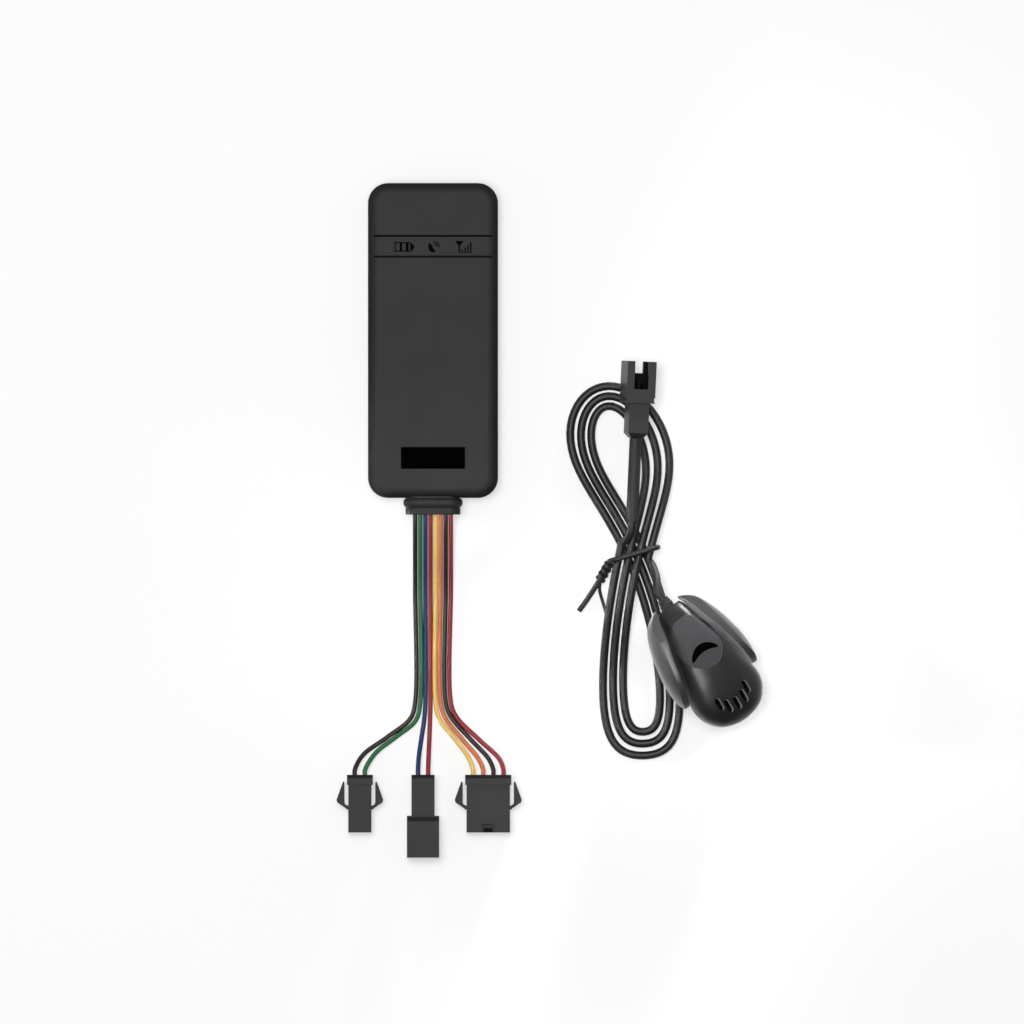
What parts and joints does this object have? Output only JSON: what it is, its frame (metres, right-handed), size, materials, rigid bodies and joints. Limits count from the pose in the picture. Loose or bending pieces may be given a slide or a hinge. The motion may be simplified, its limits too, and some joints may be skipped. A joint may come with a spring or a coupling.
{
  "type": "gps tracker",
  "caption": "Slim vehicle tracker with a latched wire harness and a plug-in cabin microphone on a tied lead, lying on its back.",
  "frame": {"origin": "centre of the tracker housing's flat back face", "axes": "+Z out of the housing's face, +Y along the housing towards the end away from its leads, +X to the right as seen from above"},
  "size_m": [0.1049, 0.1661, 0.0166],
  "materials": {
    "housing_black": "fine textured black",
    "screw_steel": "plain",
    "gloss_black": "smooth black",
    "clear_plastic": "clear moulded",
    "lamp_plastic": "moulded lens",
    "board_green": "solder mask",
    "ceramic": "ceramic with silvered top",
    "contact_brass": "stamped",
    "shield_steel": "tinned",
    "cell_foil": "foil pouch",
    "wire_red": "extruded insulation",
    "white_plastic": "moulded",
    "wire_black": "extruded insulation",
    "rubber_black": "satin rubber",
    "wire_green": "extruded insulation",
    "wire_blue": "extruded insulation",
    "wire_yellow": "extruded insulation",
    "wire_orange": "extruded insulation",
    "connector_black": "moulded",
    "pod_black": "fine textured black",
    "bracket_grey": "fine textured dark grey",
    "lead_black": "glossy extruded jacket",
    "mic_connector_black": "moulded"
  },
  "bodies": {
    "tracker_set": {"front_cover": "housing_black", "back_cover": "housing_black", "cover_screws": "screw_steel", "indicator_strip": "housing_black", "label_inlay": "gloss_black", "light_pipes": "clear_plastic", "status_leds": "lamp_plastic", "circuit_board": "board_green", "gnss_antenna": "ceramic", "cellular_antenna": "contact_brass", "modem_shield": "shield_steel", "battery_cell": "cell_foil", "battery_lead": "wire_red", "sim_socket": "shield_steel", "sim_card": "white_plastic", "harness_header": "white_plastic", "inner_leads": "wire_black", "cable_gland": "rubber_black", "wire_black_1": "wire_black", "wire_green": "wire_green", "wire_blue": "wire_blue", "wire_red_1": "wire_red", "wire_yellow": "wire_yellow", "wire_orange": "wire_orange", "wire_black_2": "wire_black", "wire_red_2": "wire_red", "plug_2way": "connector_black", "plug_2way_contacts": "contact_brass", "socket_2way": "connector_black", "socket_2way_pins": "contact_brass", "plug_4way": "connector_black", "plug_4way_contacts": "contact_brass", "mic_bracket": "bracket_grey", "mic_lead_end": "lead_black", "mic_hank": "lead_black", "mic_lead_start": "lead_black", "lead_sleeve": "rubber_black", "mic_socket": "mic_connector_black", "mic_socket_pins": "contact_brass", "cord_tie": "lead_black"},
    "mic_pod": {"mic_upper_shell": "pod_black", "mic_lower_shell": "pod_black", "mic_panel": "bracket_grey", "mic_crescent": "gloss_black", "mic_boot": "rubber_black", "mic_capsule": "shield_steel", "mic_inner_lead": "wire_black"},
    "plug_2way_latch_left": {"plug_2way_latch_left": "connector_black"},
    "plug_2way_latch_right": {"plug_2way_latch_right": "connector_black"},
    "plug_4way_latch_left": {"plug_4way_latch_left": "connector_black"},
    "plug_4way_latch_right": {"plug_4way_latch_right": "connector_black"}
  },
  "joints": [
    {"name": "mic_tilt", "type": "hinge", "parent": "tracker_set", "child": "mic_pod", "pos_m": [0.06505, -0.0768, 0.00838], "axis": [-0.808, -0.5512, 0.2079], "range_deg": [0, 18], "deforming": ["mic_lead_end"]},
    {"name": "plug_2way_latch_left_squeeze", "type": "hinge", "parent": "tracker_set", "child": "plug_2way_latch_left", "pos_m": [-0.02095, -0.11497, 0.00283], "axis": [0, 0, -1], "range_deg": [0, 4.5], "stiffness_Nm_per_rad": 0.02},
    {"name": "plug_2way_latch_right_squeeze", "type": "hinge", "parent": "tracker_set", "child": "plug_2way_latch_right", "pos_m": [-0.01505, -0.11497, 0.00283], "axis": [0, 0, 1], "range_deg": [0, 4.5], "stiffness_Nm_per_rad": 0.02},
    {"name": "plug_4way_latch_left_squeeze", "type": "hinge", "parent": "tracker_set", "child": "plug_4way_latch_left", "pos_m": [0.00815, -0.11497, 0.00283], "axis": [0, 0, -1], "range_deg": [0, 4.5], "stiffness_Nm_per_rad": 0.02},
    {"name": "plug_4way_latch_right_squeeze", "type": "hinge", "parent": "tracker_set", "child": "plug_4way_latch_right", "pos_m": [0.01905, -0.11497, 0.00283], "axis": [0, 0, 1], "range_deg": [0, 4.5], "stiffness_Nm_per_rad": 0.02}
  ]
}
